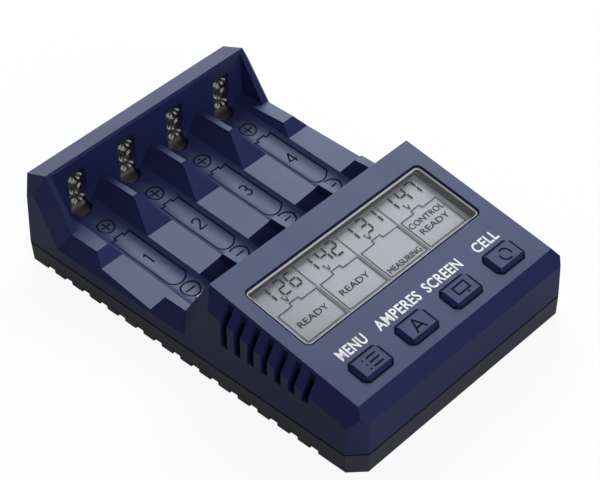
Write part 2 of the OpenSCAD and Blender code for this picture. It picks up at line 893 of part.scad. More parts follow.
// Cap with a bevelled top, a flange behind the face and a short stem
module button(number) {
    color(navy)
        raised()
            at_button(number) {
                intersection() {
                    translate([0, 0, -flange_top - small])
                        linear_extrude(height = flange_top + button_proud + small)
                            button_outline(cap_w, cap_l, button_corner);
                    rotate([90, 0, 0])
                        translate([0, 0, -cap_l])
                            linear_extrude(height = 2 * cap_l)
                                cap_side(cap_w, button_top_w);
                    rotate([90, 0, 90])
                        translate([0, 0, -cap_w])
                            linear_extrude(height = 2 * cap_w)
                                cap_side(cap_l, button_top_l);
                }
                translate([0, 0, -flange_top - flange_t])
                    linear_extrude(height = flange_t)
                        button_outline(button_w + 2 * flange_over, button_l + 2 * flange_over, button_corner);
                translate([0, 0, -plunger_top])
                    cylinder(r = plunger_r, h = stem_l + small);
            }
}

// Side view of a cap: upright below the face and bevelled above it
module cap_side(base, top) {
    polygon([
        [-base / 2, -flange_top - 1], [base / 2, -flange_top - 1],
        [base / 2, 0.1], [top / 2, button_proud],
        [-top / 2, button_proud], [-base / 2, 0.1]
    ]);
}

module plunger(number) {
    color(part_black)
        raised()
            at_button(number)
                translate([0, 0, -switch_top - plunger_sunk])
                    cylinder(r = plunger_r, h = switch_top + plunger_sunk - plunger_top);
}

module tact_switches() {
    color([0.30, 0.30, 0.32])
        raised()
            for (number = switch_number)
                at_button(number)
                    difference() {
                        translate([-switch_w / 2, -switch_w / 2, -display_board_depth])
                            cube([switch_w, switch_w, switch_h]);
                        translate([0, 0, -switch_top - plunger_sunk - button_travel - 0.3])
                            cylinder(r = plunger_r + fit, h = switch_h);
                    }
}

module display_board() {
    color(board_green)
        raised()
            on_block()
                difference() {
                    union() {
                        sunk_box(
                            2 * display_board_x, display_board_at,
                            display_board_split - display_board_at, display_board_depth, board_t
                        );
                        sunk_box(
                            2 * narrow_x, display_board_at,
                            display_board_end - display_board_at, display_board_depth, board_t
                        );
                    }
                    at_bosses()
                        translate([0, 0, -display_board_depth - board_t - 1])
                            cylinder(r = board_screw_r + pin_gap, h = board_t + 2);
                }
}

module main_board() {
    color(board_green)
        raised()
            difference() {
                union() {
                    translate([-board_x, board_front_y, board_z])
                        cube([2 * board_x, board_rear_y - board_front_y, board_t]);
                    translate([-tongue_x, board_front_y, board_z])
                        cube([2 * tongue_x, tongue_y - board_front_y, board_t]);
                }
                inlet_space(fit);
                at_standoffs()
                    cylinder(r = board_screw_r + pin_gap, h = seam_z);
                for (number = bay_number)
                    translate([bay_x(number) - leg_w / 2 - pin_gap, plate_y - pin_gap, 0])
                        cube([leg_w + 2 * pin_gap, plate_t + 2 * pin_gap, seam_z]);
            }
}

// Spring strip behind the head's wall with pierced burrs, a solder leg and a foot bent forward
module positive_contact(number) {
    bend_top = foot_z + plate_t / 2 + foot_bend;
    middle_y = foot_middle_y - plate_y;
    bend = [for (angle = [0:-15:-90]) [
        plate_t / 2 + foot_bend * (cos(angle) - 1),
        bend_top + foot_bend * sin(angle)
    ]];
    tip = [middle_y - foot_w / 2, bend_top - foot_bend];
    color(nickel)
        raised()
            translate([bay_x(number), plate_y, 0])
                difference() {
                    union() {
                        translate([-plate_w / 2, 0, bend_top])
                            cube([plate_w, plate_t, plate_top - bend_top]);
                        translate([-leg_w / 2, 0, leg_low])
                            cube([leg_w, plate_t, bend_top - leg_low]);
                        intersection() {
                            across(-foot_w / 2, foot_w / 2)
                                polygon(strip_outline(concat(bend, [tip]), plate_t));
                            union() {
                                translate([0, middle_y, foot_z - 1])
                                    cylinder(r = foot_w / 2, h = foot_bend + 2);
                                translate([-foot_w, middle_y, foot_z - 1])
                                    cube([2 * foot_w, foot_w, foot_bend + 2]);
                            }
                        }
                        at_burrs()
                            cylinder(r1 = burr_r, r2 = burr_hole_r + 0.15, h = burr_h);
                    }
                    at_burrs()
                        translate([0, 0, -plate_t - 1])
                            cylinder(r = burr_hole_r, h = plate_t + burr_h + 2);
                }
}

module at_burrs() {
    for (side = [-1, 1], row = [0:burr_rows - 1])
        translate([side * burr_x, small, burr_top - row * burr_step])
            rotate([90, 0, 0])
                children();
}

// Spring leaf with a rolled root, a rising blade and a rounded tip
module negative_contact(number) {
    blade = [
        [0, root_r - leaf_t / 2], [0.18 * leaf_reach, 0.42 * leaf_rise],
        [0.42 * leaf_reach, 0.74 * leaf_rise], [0.70 * leaf_reach, 0.97 * leaf_rise],
        [0.86 * leaf_reach, leaf_rise], [0.95 * leaf_reach, 0.94 * leaf_rise],
        [leaf_reach, 0.80 * leaf_rise], [0.98 * leaf_reach, 0.62 * leaf_rise]
    ];
    color(nickel)
        raised()
            translate([bay_x(number), root_y, root_z])
                union() {
                    across(-leaf_w / 2, leaf_w / 2)
                        polygon(strip_outline(blade, leaf_t));
                    rotate([0, 90, 0])
                        cylinder(r = root_r, h = leaf_w, center = true);
                }
}

module leaf_anchors() {
    color(nickel)
        raised()
            for (number = bay_number)
                translate([bay_x(number), root_y, 0])
                    difference() {
                        translate([-leaf_w / 2, -1.6, board_top])
                            cube([leaf_w, 3.2, anchor_t]);
                        translate([0, 0, root_z])
                            rotate([0, 90, 0])
                                cylinder(r = root_r + root_gap, h = leaf_w + 2, center = true);
                    }
}

// Housing of the power inlet with its round nose in the rear wall
module dc_inlet() {
    color(part_black)
        raised()
            difference() {
                union() {
                    inlet_space(0);
                    translate([0, inlet_y - small, inlet_z])
                        rotate([-90, 0, 0])
                            cylinder(r = inlet_r + 1, h = inlet_nose);
                }
                translate([0, inlet_y + inlet_nose - inlet_deep, inlet_z])
                    rotate([-90, 0, 0])
                        cylinder(r = inlet_r, h = inlet_deep + 1);
                translate([0, inlet_y - inlet_l + 1, inlet_z])
                    rotate([-90, 0, 0])
                        cylinder(r = inlet_pin_r + pin_gap, h = inlet_l);
            }
}

module dc_pin() {
    color(nickel)
        raised()
            translate([0, inlet_y - inlet_l + 1, inlet_z])
                rotate([-90, 0, 0])
                    cylinder(r = inlet_pin_r, h = inlet_l - 1);
}

module inductors() {
    color([0.24, 0.24, 0.26])
        raised()
            for (number = bay_number)
                translate([bay_x(number), bay_front_y - choke_at, board_top])
                    difference() {
                        translate([-choke_w / 2, -choke_w / 2, 0])
                            cube([choke_w, choke_w, choke_h]);
                        translate([0, 0, 0.8 * choke_h])
                            difference() {
                                cylinder(r = 0.42 * choke_w, h = choke_h);
                                cylinder(r = 0.34 * choke_w, h = choke_h);
                            }
                    }
}

module capacitors() {
    color([0.20, 0.22, 0.36])
        raised()
            for (number = bay_number)
                translate([bay_x(number), bay_front_y - can_at, board_top]) {
                    cylinder(r = can_r, h = 0.91 * can_h);
                    cylinder(r = 0.92 * can_r, h = can_h);
                }
}

module transistors() {
    thick = package_l / 6;
    color(part_black)
        raised()
            for (number = bay_number, side = [-1, 1])
                translate([bay_x(number) + side * 0.65 * package_w, bay_front_y - package_at, board_top])
                    translate([-package_w / 2, -package_l / 2, 0])
                        cube([package_w, package_l, thick]);
}

module controller_chip() {
    color(part_black)
        raised()
            on_block()
                sunk_box(chip_w, chip_at, chip_w, display_board_depth + board_t, 0.14 * chip_w);
}

// Pin header that joins the two boards
module board_header() {
    deep = 0.16 * header_w;
    front = header_at + deep / 2;
    under = block_rear_h - front * tan(block_tilt) - (display_board_depth + board_t) / cos(block_tilt);
    color([0.20, 0.20, 0.20])
        raised()
            translate([-header_w / 2, bay_front_y - front, board_top])
                cube([header_w, deep, under - board_top - fit / 2]);
}

module case_screws() {
    color([0.55, 0.55, 0.57])
        raised()
            at_posts()
                difference() {
                    union() {
                        translate([0, 0, counterbore_z - 1.5])
                            cylinder(r = screw_head_r, h = 1.5);
                        translate([0, 0, counterbore_z - small])
                            cylinder(r = screw_r, h = screw_l - counterbore_z);
                    }
                    for (turn = [0, 90])
                        rotate([0, 0, turn])
                            translate([-1.2, -0.3, counterbore_z - 2])
                                cube([2.4, 0.6, 1.3]);
                }
}

module board_screws() {
    color([0.65, 0.62, 0.55])
        raised() {
            at_standoffs()
                translate([0, 0, screw_sunk])
                    board_screw(board_screw_l);
            on_block()
                at_bosses()
                    translate([0, 0, -display_board_depth - board_t])
                        rotate([180, 0, 0])
                            translate([0, 0, -boss_screw_l])
                                board_screw(boss_screw_l);
        }
}

// Screw that stands on its point, with its head on top
module board_screw(length) {
    difference() {
        union() {
            cylinder(r = board_screw_r, h = length + small);
            translate([0, 0, length])
                cylinder(r = board_screw_head_r, h = board_screw_head_t);
        }
        for (turn = [0, 90])
            rotate([0, 0, turn])
                translate([-0.9, -0.2, length + 0.4])
                    cube([1.8, 0.4, board_screw_head_t]);
    }
}

module rubber_feet() {
    color([0.12, 0.12, 0.12])
        for (side = [-1, 1], end = [-1, 1])
            translate([side * (half_w - 9), end * (rear_y - 13), 0])
                cylinder(r = foot_r, h = foot_stand + foot_pocket);
}

top_shell();
bottom_shell();
display_lens();
lcd_frame();
lcd_panel();
contact_strip();
button(1);  // button_1
button(2);  // button_2
button(3);  // button_3
button(4);  // button_4
plunger(1);  // plunger_1
plunger(2);  // plunger_2
plunger(3);  // plunger_3
plunger(4);  // plunger_4
tact_switches();
display_board();
main_board();
positive_contact(1);  // positive_contact_1
positive_contact(2);  // positive_contact_2
positive_contact(3);  // positive_contact_3
positive_contact(4);  // positive_contact_4
negative_contact(1);  // negative_contact_1
negative_contact(2);  // negative_contact_2
negative_contact(3);  // negative_contact_3
negative_contact(4);  // negative_contact_4
leaf_anchors();
dc_inlet();
dc_pin();
inductors();
capacitors();
transistors();
controller_chip();
board_header();
case_screws();
board_screws();
rubber_feet();
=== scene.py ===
# %% [markdown]
# # Battery charger with four bays: the looks
# The shape of the charger comes from its CAD model, packed as a fixed frame. This script gives every
# part its finish, and adds what is printed, engraved or shown on it: the marks in the bays, the
# figures on the display, the words above the buttons and the signs in the caps.
# Everything is in metres. The charger stands on z = 0 with its bays behind and its display in front.

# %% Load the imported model
import math

import bmesh
import bpy
import numpy as np
from mathutils import Matrix, Vector


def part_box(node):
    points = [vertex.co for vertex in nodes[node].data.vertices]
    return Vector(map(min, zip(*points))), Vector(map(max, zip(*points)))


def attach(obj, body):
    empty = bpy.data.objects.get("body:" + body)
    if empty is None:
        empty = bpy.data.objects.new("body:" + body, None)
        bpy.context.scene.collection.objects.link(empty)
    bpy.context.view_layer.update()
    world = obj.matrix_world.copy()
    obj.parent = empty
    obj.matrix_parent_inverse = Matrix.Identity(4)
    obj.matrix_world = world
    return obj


MM = 0.001

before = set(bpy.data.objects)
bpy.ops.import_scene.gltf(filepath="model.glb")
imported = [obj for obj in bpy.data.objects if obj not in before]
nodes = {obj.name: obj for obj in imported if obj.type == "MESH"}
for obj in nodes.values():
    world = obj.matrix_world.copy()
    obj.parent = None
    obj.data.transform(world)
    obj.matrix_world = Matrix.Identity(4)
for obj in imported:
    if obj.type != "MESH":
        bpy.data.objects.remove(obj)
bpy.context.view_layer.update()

# %% [markdown]
# ## The camera
# A camera is a place, a direction and a focal length. The place is written as a distance from a point
# in the middle of the charger, seen at an azimuth and an elevation, as a photographer walks round an
# object on a table. Columns of a rotation matrix are the camera's own axes: right, up, and backwards.
# The long lens keeps the far end of the charger nearly as large as the near end.

# %% Camera
LOOK_AT = np.array([7.846, 3.755, 5.645]) * MM
AZIMUTH, ELEVATION, ROLL = np.radians([-45.03, 42.53, -2.34])
DISTANCE = 501.3 * MM
FOCAL_PIXELS, FRAME_PIXELS, SENSOR_MM = 2028.8, 600, 36


def camera_axes(azimuth, elevation, roll):
    """Backwards is (sin a cos e, -cos a cos e, sin e); right is level, up is their cross product, and
    the roll turns right and up about backwards."""
    back = np.array([math.sin(azimuth) * math.cos(elevation),
                     -math.cos(azimuth) * math.cos(elevation), math.sin(elevation)])
    right = np.array([math.cos(azimuth), math.sin(azimuth), 0.0])
    up = np.cross(back, right)
    rolled_right = right * math.cos(roll) + up * math.sin(roll)
    rolled_up = up * math.cos(roll) - right * math.sin(roll)
    return rolled_right, rolled_up, back


right, up, back = camera_axes(AZIMUTH, ELEVATION, ROLL)
camera_data = bpy.data.cameras.new("camera")
camera_data.sensor_width = SENSOR_MM
camera_data.lens = FOCAL_PIXELS * SENSOR_MM / FRAME_PIXELS
camera_data.clip_start, camera_data.clip_end = 0.01, 20
camera = bpy.data.objects.new("camera", camera_data)
bpy.context.scene.collection.objects.link(camera)
camera.matrix_world = Matrix([[*axis_row, place] for axis_row, place in
                              zip(np.stack([right, up, back], 1), LOOK_AT + DISTANCE * back)]
                             + [[0, 0, 0, 1]])
bpy.context.scene.camera = camera
print("lens", round(camera_data.lens, 1), "mm")

# %% [markdown]
# ## Shader maths as Python
# A node tree is a formula drawn as boxes. A small class around a socket lets the formula be written as
# a formula: `1 - mask * 0.3` adds two Math nodes and links them. Numbers alone stay in Python.
# Any other node comes from one method, which takes the node's type, its settings and its inputs.

# %% A socket that Python can calculate with
class Field:
    """A varying value in a material. Each operator adds one Math node to the material's tree."""

    def __init__(self, finish, socket):
        self.finish, self.socket = finish, socket

    def math(self, operation, *values, clamp=False):
        """One Math node on these values."""
        settings = {"operation": operation, "use_clamp": clamp}
        return self.finish.node("Math", settings, dict(enumerate(values)))

    def __add__(self, other): return self.math("ADD", self, other)
    def __radd__(self, other): return self.math("ADD", other, self)
    def __sub__(self, other): return self.math("SUBTRACT", self, other)
    def __rsub__(self, other): return self.math("SUBTRACT", other, self)
    def __mul__(self, other): return self.math("MULTIPLY", self, other)
    def __rmul__(self, other): return self.math("MULTIPLY", other, self)
    def __abs__(self): return self.math("ABSOLUTE", self)
    def __gt__(self, other): return self.math("GREATER_THAN", self, other)

    def wave(self):
        """The sine of the value, in radians."""
        return self.math("SINE", self)

    def held(self):
        """The same value, kept between 0 and 1."""
        return self.math("ADD", self, 0.0, clamp=True)


print("socket maths ready")

# %% A material whose nodes come from one method
class Finish:
    """A material whose nodes are made by one method and whose last node is a Principled BSDF."""

    def __init__(self, name, **fixed):
        self.material = bpy.data.materials.new(name)
        self.material.use_nodes = True
        self.tree = self.material.node_tree
        self.tree.nodes.clear()
        self.shader = self.tree.nodes.new("ShaderNodeBsdfPrincipled")
        self.output = self.tree.nodes.new("ShaderNodeOutputMaterial")
        self.tree.links.new(self.shader.outputs[0], self.output.inputs[0])
        self.set(**fixed)
        self.place = self.node("TexCoord", out="Object")

    def feed(self, socket, value):
        """Links a Field to a socket, or writes a number or colour on it."""
        if isinstance(value, Field):
            self.tree.links.new(value.socket, socket)
        elif isinstance(value, (tuple, list)) and socket.type == "RGBA":
            socket.default_value = (*value, 1)
        else:
            socket.default_value = value

    def set(self, **values):
        """Writes the shader's own sockets, named with _ for a space: base_color is Base Color."""
        for name, value in values.items():
            title = {"specular": "Specular IOR Level"}.get(name, name.replace("_", " ").title())
            self.feed(self.shader.inputs[title], value)

    def node(self, kind, settings=None, values=None, out=0):
        """One node of a kind. Its settings are written first, then its sockets are fed."""
        made = self.tree.nodes.new("ShaderNode" + kind)
        for name, value in (settings or {}).items():
            setattr(made, name, value)
        for name, value in (values or {}).items():
            self.feed(made.inputs[name], value)
        return Field(self, made.outputs[out])

    def noise(self, size, detail=3, roughness=0.55, stretch=(1, 1, 1)):
        """Cloudy values round 0.5 whose blots are about size metres wide, longer along stretch."""
        spot = self.node("Mapping", {}, {"Vector": self.place, "Scale": tuple(1 / s for s in stretch)})
        return self.node("TexNoise", {}, {"Vector": spot, "Scale": 1 / size, "Detail": detail,
                                          "Roughness": roughness})

    def mix(self, factor, first, second):
        """Colour from first, where factor is 0, to second, where it is 1."""
        return self.node("Mix", {"data_type": "RGBA"}, {0: factor, 6: first, 7: second}, out=2)

    def axis(self, letter):
        """One coordinate of the point, in millimetres."""
        return self.node("SeparateXYZ", {}, {0: self.place}, out=letter) * (1 / MM)

    def bump(self, height, depth, strength):
        """Turns a height from 0 to 1 into a normal, where 1 stands depth metres proud."""
        return self.node("Bump", {}, {"Height": height, "Strength": strength, "Distance": depth})


print("material maker ready")

# %% [markdown]
# ## Moulded plastic
# The shell is moulded ABS with a spark-eroded texture: grains a quarter of a millimetre wide that break
# the light into a soft sheen. Three things vary: the colour by a few hundredths, the roughness in
# broad clouds where hands have polished it, and the height of the grain. A function with these as
# arguments serves the shell, the tray, the caps and the small mouldings inside. The navy is dark by
# itself, and most of its light is sheen, which leans a little to blue.

# %% Plastic
CLOUDS, SPECKLES, PORES = 14, 0.5, 1.6


def plastic(name, colour, rough=0.42, spread=0.06, tone=0.10, grain=0.25, depth=0.012, **fixed):
    """Base colour = colour * (1 +- tone); roughness = rough +- spread; the bump is noise as fine as
    the grain, with pores PORES grains wide. Clouds, speckles, grain and depth are in mm."""
    finish = Finish(name, **fixed)
    clouds = finish.noise(CLOUDS * MM, 2)
    speckle = finish.noise(SPECKLES * MM, 2)
    pale = tuple(min(1, c * (1 + tone) + 0.002) for c in colour)
    deep = tuple(c * (1 - tone) for c in colour)
    finish.set(base_color=finish.mix((clouds * 0.6 + speckle * 0.4).held(), deep, pale))
    finish.set(roughness=rough + (clouds - 0.5) * (2 * spread) + (speckle - 0.5) * spread)
    fine = finish.noise(grain * MM, 3, 0.7)
    pores = finish.node("TexVoronoi", {}, {"Vector": finish.place, "Scale": 1 / (PORES * grain * MM)})
    finish.set(normal=finish.bump(fine * 0.7 + pores * 0.3, depth * MM, 0.7))
    return finish.material


NAVY = (0.020, 0.027, 0.116)
CHARCOAL = (0.052, 0.050, 0.080)
SHEEN = (0.80, 0.90, 1.0)

housing = plastic("housing_plastic", NAVY, rough=0.43, specular=0.46, specular_tint=SHEEN)
cap_plastic = plastic("cap_plastic", NAVY, rough=0.38, grain=0.2, depth=0.008, specular=0.34,
                      specular_tint=SHEEN)
tray = plastic("tray_plastic", CHARCOAL, rough=0.48, grain=0.32, depth=0.016, specular=0.5)
frame_plastic = plastic("frame_plastic", (0.050, 0.056, 0.043), rough=0.5, specular=0.3)
inlet_plastic = plastic("inlet_plastic", (0.012, 0.012, 0.013), rough=0.34, depth=0.006)
plunger_plastic = plastic("plunger_plastic", (0.55, 0.54, 0.50), rough=0.4)
rubber = plastic("foot_rubber", (0.045, 0.045, 0.047), rough=0.72, spread=0.08, grain=0.4, depth=0.03)
print("plastics ready")

# %% [markdown]
# ## Metals
# Nickel plate is a mirror with a past: drawn lines from the rolling mill, a little haze, and edges
# that a thousand cells have rubbed. The metal has no colour texture of its own worth the name, so the
# work is in the roughness, which is stretched along the strip, and in a shallow bump. The tips round
# the burrs are rubbed bright. Their near-white satin paint is also a painted highlight for their glints.

# %% Metals
STREAKS, TARNISH, DULLED = 0.18, 2.5, 0.78


def metal(name, colour, rough=0.24, lines=(1, 1, 12), haze=0.12, depth=0.006, metallic=1.0):
    """Roughness = rough + haze * clouds + fine streaks that run along the longest of lines. Base
    colour = colour, down to DULLED of it in the clouds. Streaks, tarnish and depth are in mm."""
    finish = Finish(name, metallic=metallic)
    streaks = finish.noise(STREAKS * MM, 3, 0.6, lines)
    clouds = finish.noise(TARNISH * MM, 3)
    dull = tuple(c * DULLED for c in colour)
    finish.set(base_color=finish.mix((clouds * 0.7 + streaks * 0.3).held(), dull, colour))
    finish.set(roughness=rough + (clouds - 0.5) * haze + (streaks - 0.5) * 0.12)
    finish.set(normal=finish.bump(streaks * 0.6 + clouds * 0.4, depth * MM, 0.6))
    return finish.material


nickel = metal("nickel_plate", (0.44, 0.435, 0.37), rough=0.3)
# Near-white, barely metallic satin for the burr tips: rubbed bright, and a painted highlight for their
# glints.
burr_highlight_nickel = metal("burr_highlight_nickel", (1.0, 0.99, 0.96), rough=0.3, haze=0.04, depth=0.001, metallic=0.1)
tinned = metal("tinned_steel", (0.62, 0.62, 0.62), rough=0.34, lines=(6, 1, 1))
black_steel = metal("blackened_steel", (0.09, 0.09, 0.10), rough=0.38, lines=(1, 1, 1), haze=0.2)
can_metal = metal("can_sleeve", (0.50, 0.51, 0.54), rough=0.3, lines=(1, 1, 8))
print("metals ready")

# %% [markdown]
# ## Inside the housing
# A circuit board is glass cloth under green lacquer. Its copper tracks lie under the lacquer and show
# as paler lanes in two directions, with rows of tinned pads. Chips and chokes are black mouldings with
# a matt skin. Little of this can be seen, through the vents, but it is what makes a hole look deep.

# %% Boards and the parts on them
LANE_WAVE, LANE_EDGE, LANE_AREA, WEAVE_WAVE = 4.2, 0.86, 9, 9


def board_finish(name):
    """Lanes where |sin(LANE_WAVE * x)| or that of y is over LANE_EDGE, in cells of noise, over green
    lacquer whose weave is |sin(WEAVE_WAVE * x)| * |sin(WEAVE_WAVE * y)|. Lengths are in mm."""
    finish = Finish(name, specular=0.6, coat_weight=0.4, coat_roughness=0.12)
    x, y = finish.axis("X"), finish.axis("Y")
    area = finish.noise(LANE_AREA * MM, 1) > 0.5
    lanes = abs((x * LANE_WAVE).wave()) > LANE_EDGE
    rows = abs((y * LANE_WAVE).wave()) > LANE_EDGE
    copper = lanes * area + rows * (1 - area)
    weave = abs((x * WEAVE_WAVE).wave()) * abs((y * WEAVE_WAVE).wave())
    lacquer = finish.mix(weave, (0.008, 0.075, 0.030), (0.012, 0.095, 0.038))
    finish.set(base_color=finish.mix(copper * 0.7, lacquer, (0.035, 0.19, 0.075)))
    finish.set(roughness=0.34 - copper * 0.08 + weave * 0.05)
    finish.set(normal=finish.bump(copper * 0.8 + weave * 0.2, 0.03 * MM, 0.6))
    return finish.material


board = board_finish("board_lacquer")
moulded_black = plastic("moulded_black", (0.014, 0.014, 0.015), rough=0.55, grain=0.12, depth=0.01)
ferrite = plastic("ferrite", (0.040, 0.038, 0.037), rough=0.62, tone=0.25, grain=0.18, depth=0.03)
print("board ready")

# %% [markdown]
# ## Display: a clear lens over a reflective panel
# The lens is clear acrylic with polished faces. A shader of pure transmission would bend the light on
# its way to the panel, which takes thousands of rays to settle. So the lens is a mirror that is nearly
# not there: its alpha is the share of light that acrylic throws back at each angle, and the rest goes
# straight through. Its bevelled edge shows as a pale line, which is a near-white strip as painted highlight.
# The panel under it is a reflective liquid crystal: a satin film of grey with a breath of blue.

# %% Lens, panel and contact strip
ACRYLIC_IOR, STRIPE_WAVE = 1.49, 31
SHADE_RISE, SHADE_START = 0.05, 0.6


def lens_finish(name, gloss=0.2, rough=0.2):
    """Alpha = gloss * Fresnel's share on the faces seen from outside + streaks of dust. Seen
    from inside, Fresnel's share would be total reflection, so those faces take none of it."""
    finish = Finish(name, metallic=1.0)
    wiped = finish.noise(6 * MM, 3, 0.6, (3, 1, 1))
    outside = 1 - finish.node("NewGeometry", out="Backfacing")
    finish.set(base_color=finish.mix(wiped, (0.92, 0.95, 0.96), (1.0, 1.0, 1.0)))
    finish.set(roughness=rough + wiped * 0.06)
    finish.set(alpha=finish.node("Fresnel", {}, {"IOR": ACRYLIC_IOR}) * outside * gloss + wiped * 0.004)
    return finish.material


def panel_finish(name):
    """Grey film in two close tones, with a grain of a twelfth of a millimetre and a satin gloss. It
    darkens by SHADE_RISE * -x - SHADE_START, x in mm, towards its left end, which lies in the shade
    of the window's edge."""
    finish = Finish(name, specular=0.65)
    film = finish.noise(0.08 * MM, 2)
    clouds = finish.noise(18 * MM, 1)
    cool, warm, shaded = (0.240, 0.262, 0.278), (0.285, 0.305, 0.318), (0.13, 0.14, 0.15)
    left = (-SHADE_RISE * finish.axis("X") - SHADE_START).held()
    tones = finish.mix((clouds * 0.8 + film * 0.2).held(), cool, warm)
    finish.set(base_color=finish.mix(left, tones, shaded))
    finish.set(roughness=0.30 + film * 0.08)
    finish.set(normal=finish.bump(film, 0.004 * MM, 0.4))
    return finish.material


def zebra_finish(name):
    """Silicone with conducting stripes: black where sin(STRIPE_WAVE * x) > 0, pale between."""
    finish = Finish(name, specular=0.4)
    stripes = (finish.axis("X") * STRIPE_WAVE).wave() > 0
    dust = finish.noise(1.2 * MM, 3)
    finish.set(base_color=finish.mix(stripes, (0.45, 0.43, 0.40), (0.03, 0.03, 0.03)))
    finish.set(roughness=0.6 + (dust - 0.5) * 0.2)
    finish.set(normal=finish.bump(stripes, 0.01 * MM, 0.5))
    return finish.material


lens = lens_finish("clear_lens")
# Near-white paint for the lens's bevelled edge: a painted highlight.
lens_edge_highlight = plastic("lens_edge_highlight", (0.93, 0.95, 0.96), rough=0.2, tone=0.03, depth=0.002)
panel, zebra = panel_finish("display_film"), zebra_finish("contact_rubber")
print("display finishes ready")

# %% [markdown]
# ## Dressing the CAD nodes
# A CAD node keeps its mesh and only gets a material in its slots. One table says which finish belongs
# to which node, so that a new node without a finish shows up at once.

# %% Give every node its finish
FINISHES = {
    "top_shell": housing, "bottom_shell": tray, "display_lens": lens, "lcd_frame": frame_plastic,
    "lcd_panel": panel, "contact_strip": zebra, "tact_switches": tinned, "display_board": board,
    "main_board": board, "leaf_anchors": nickel, "dc_inlet": inlet_plastic, "dc_pin": nickel,
    "inductors": ferrite, "capacitors": can_metal, "transistors": moulded_black,
    "controller_chip": moulded_black, "board_header": inlet_plastic, "case_screws": black_steel,
    "board_screws": tinned, "rubber_feet": rubber,
}
FAMILIES = {"button_": cap_plastic, "plunger_": plunger_plastic, "positive_contact_": nickel,
            "negative_contact_": nickel}


def finish_of(node_name):
    """The node's own finish or else the one of the family that its name starts with."""
    family = [finish for start, finish in FAMILIES.items() if node_name.startswith(start)]
    return FINISHES.get(node_name) or family[0]


for node_name, node in nodes.items():
    for material_slot in node.material_slots:
        material_slot.material = finish_of(node_name)
print("dressed", len(nodes), "nodes")

# %% [markdown]
# ## Strokes: one maker for marks, figures and signs
# Engraved lines, the segments of the display and the signs on the caps are all strokes of even width.
# A stroke is a small rectangle carried along a line, closed at both ends. The line is drawn flat, as u
# and v, and a placing function bends it onto the surface that it lies on, so the same maker works on
# a round trough and on the sloping face. The stroke is mostly sunk and stands a hair proud.

# %% The stroke maker
STEP, TIP_HALF, CORNER_LIMIT = 0.4, 0.02, 1.2


def finer(line, step):
    """The same line with points at most about step apart; its own corners stay."""
    along = np.concatenate([[0], np.cumsum(np.linalg.norm(np.diff(line, axis=0), axis=1))])
    places = np.unique(np.round(np.concatenate([along, np.arange(0, along[-1], step)]), 6))
    return np.stack([np.interp(places, along, line[:, k]) for k in range(2)], 1)


def side_of(line, closed):
    """Unit normals at the points: the mean of both neighbours' normals, stretched at a corner by
    1 / cos(half the turn) so that the stroke keeps its width, up to what CORNER_LIMIT allows."""
    step = np.diff(line, axis=0, append=line[:1] if closed else line[-1:])
    step = step if closed else np.concatenate([step[:-1], step[-2:-1]])
    step = step / np.linalg.norm(step, axis=1, keepdims=True)
    normal = np.stack([-step[:, 1], step[:, 0]], 1)
    before = np.roll(normal, 1, axis=0) if closed else np.concatenate([normal[:1], normal[:-1]])
    mean = before + normal
    return mean * 2 / np.maximum((mean * mean).sum(1, keepdims=True), CORNER_LIMIT)


def stroke(line, width, place, closed=False, tapered=False, top=0.02, sunk=0.08, bank=0.0):
    """Corners (u +- w/2, v) at heights -sunk and top, carried along the line in steps of STEP. A
    tapered stroke is only TIP_HALF to each side at its ends, and has its full width half a width
    further in. A bank lowers the right side."""
    line = np.asarray(line, float)
    if closed:
        line = finer(np.concatenate([line, line[:1]]), STEP)[:-1]
    elif not tapered:
        line = finer(line, STEP)
    half = np.full(len(line), width / 2)
    if tapered:
        run = (line[-1] - line[0]) / np.linalg.norm(line[-1] - line[0])
        line = np.stack([line[0], line[0] + run * width / 2, line[-1] - run * width / 2, line[-1]])
        half = np.array([TIP_HALF, width / 2, width / 2, TIP_HALF])
    side = side_of(line, closed) * half[:, None]
    rings = np.stack([place(*(line + side).T, top), place(*(line - side).T, top - bank),
                      place(*(line - side).T, -sunk), place(*(line + side).T, -sunk)], 1)
    count = len(line)
    rows, columns = np.meshgrid(np.arange(count if closed else count - 1), np.arange(4), indexing="ij")
    ahead, beside = (rows + 1) % count, (columns + 1) % 4
    faces = np.stack([rows * 4 + columns, rows * 4 + beside, ahead * 4 + beside, ahead * 4 + columns], -1)
    ends = [] if closed else [[3, 2, 1, 0], [4 * count - 4, 4 * count - 3, 4 * count - 2, 4 * count - 1]]
    return rings.reshape(-1, 3), faces.reshape(-1, 4).tolist() + ends


print("stroke maker ready")

# %% One object out of many strokes
def piece(name, parts, material, body):
    """Joins (points in mm, faces) parts into one object with outward normals, riding on a body."""
    starts = np.cumsum([0] + [len(points) for points, _ in parts[:-1]])
    points = np.concatenate([points for points, _ in parts]) * MM
    faces = [[corner + int(start) for corner in face]
             for start, (_, part_faces) in zip(starts, parts) for face in part_faces]
    mesh = bpy.data.meshes.new(name)
    mesh.from_pydata(points.tolist(), [], faces)
    shape = bmesh.new()
    shape.from_mesh(mesh)
    bmesh.ops.recalc_face_normals(shape, faces=shape.faces)
    shape.to_mesh(mesh)
    shape.free()
    mesh.materials.append(material)
    made = bpy.data.objects.new(name, mesh)
    bpy.context.scene.collection.objects.link(made)
    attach(made, body)
    print(name, len(mesh.polygons), "faces")


print("piece maker ready")

# %% [markdown]
# ## Where things lie
# The troughs are round in section and rise towards the head, so a height follows from x and y by the
# equation of a tilted cylinder. The block's face is a plane: a point on it is a distance across, a
# distance down the slope and a height along its normal.

# %% Surfaces to lay strokes on
TROUGH_R, TROUGH_FLOOR, TROUGH_MIDDLE = 7.5, 10.1, 19.5
TROUGH_RISE = math.tan(math.radians(4.2))
HEAD_OVER_BLOCK, BLOCK_FALL, BLOCK_RUN = 0.1, 8.15, 45.2
BLOCK_EDGE_Y, BLOCK_EDGE_Z = -8.3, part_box("top_shell")[1].z / MM - HEAD_OVER_BLOCK
BLOCK_TILT = math.atan(BLOCK_FALL / BLOCK_RUN)


